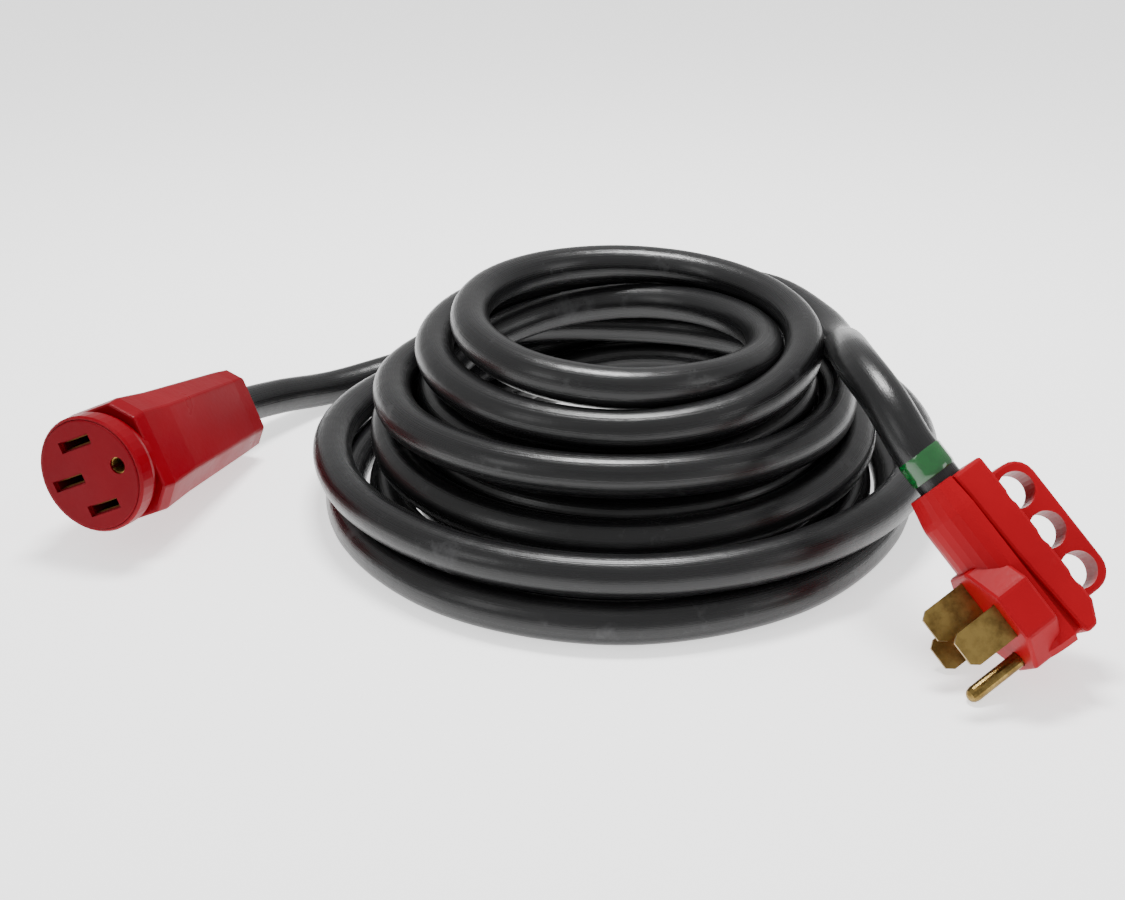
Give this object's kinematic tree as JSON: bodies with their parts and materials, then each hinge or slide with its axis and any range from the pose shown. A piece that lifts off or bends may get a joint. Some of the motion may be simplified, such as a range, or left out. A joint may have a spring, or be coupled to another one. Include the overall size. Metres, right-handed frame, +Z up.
{
  "type": "shore power cord",
  "caption": "Coiled heavy four-core shore power cord with a right-angle handled plug on one end and a straight grip connector on the other.",
  "frame": {"origin": "on the floor, under the middle of the box around the plug and the connector, the cable left out", "axes": "+Z up from the floor that the coil lies on; +X from the connector's side to the plug's side; +Y from the two ends towards the back of the coil"},
  "size_m": [0.5523, 0.4239, 0.1299],
  "materials": {
    "black_jacket": "satin",
    "green_label": "gloss",
    "red_pvc": "satin",
    "cream_nylon": "matte",
    "brass_contact": "satin",
    "polished_brass": "polished",
    "tinned_copper": "satin",
    "black_insulation": "matte",
    "red_insulation": "matte",
    "white_insulation": "matte",
    "green_insulation": "matte"
  },
  "bodies": {
    "root": {"connector_back_plate": "cream_nylon", "connector_contact_block": "red_pvc", "connector_contact_ground": "brass_contact", "connector_contact_line_1": "brass_contact", "connector_contact_line_2": "brass_contact", "connector_contact_neutral": "brass_contact", "connector_core_ground": "green_insulation", "connector_core_line_1": "black_insulation", "connector_core_line_2": "red_insulation", "connector_core_neutral": "white_insulation", "connector_crimp_ground": "tinned_copper", "connector_crimp_line_1": "tinned_copper", "connector_crimp_line_2": "tinned_copper", "connector_crimp_neutral": "tinned_copper", "connector_grip_moulding": "red_pvc", "cord_coil_lower": "black_jacket", "cord_coil_middle": "black_jacket", "cord_coil_upper": "black_jacket", "cord_connector_tail": "black_jacket", "cord_label_band": "green_label", "cord_plug_tail": "black_jacket", "plug_blade_carrier": "cream_nylon", "plug_blade_line_1": "brass_contact", "plug_blade_line_2": "brass_contact", "plug_blade_neutral": "brass_contact", "plug_core_ground": "green_insulation", "plug_core_line_1": "black_insulation", "plug_core_line_2": "red_insulation", "plug_core_neutral": "white_insulation", "plug_crimp_ground": "tinned_copper", "plug_crimp_line_1": "tinned_copper", "plug_crimp_line_2": "tinned_copper", "plug_crimp_neutral": "tinned_copper", "plug_front_moulding": "red_pvc", "plug_ground_pin": "polished_brass", "plug_rear_handle": "red_pvc"}
  },
  "joints": []
}
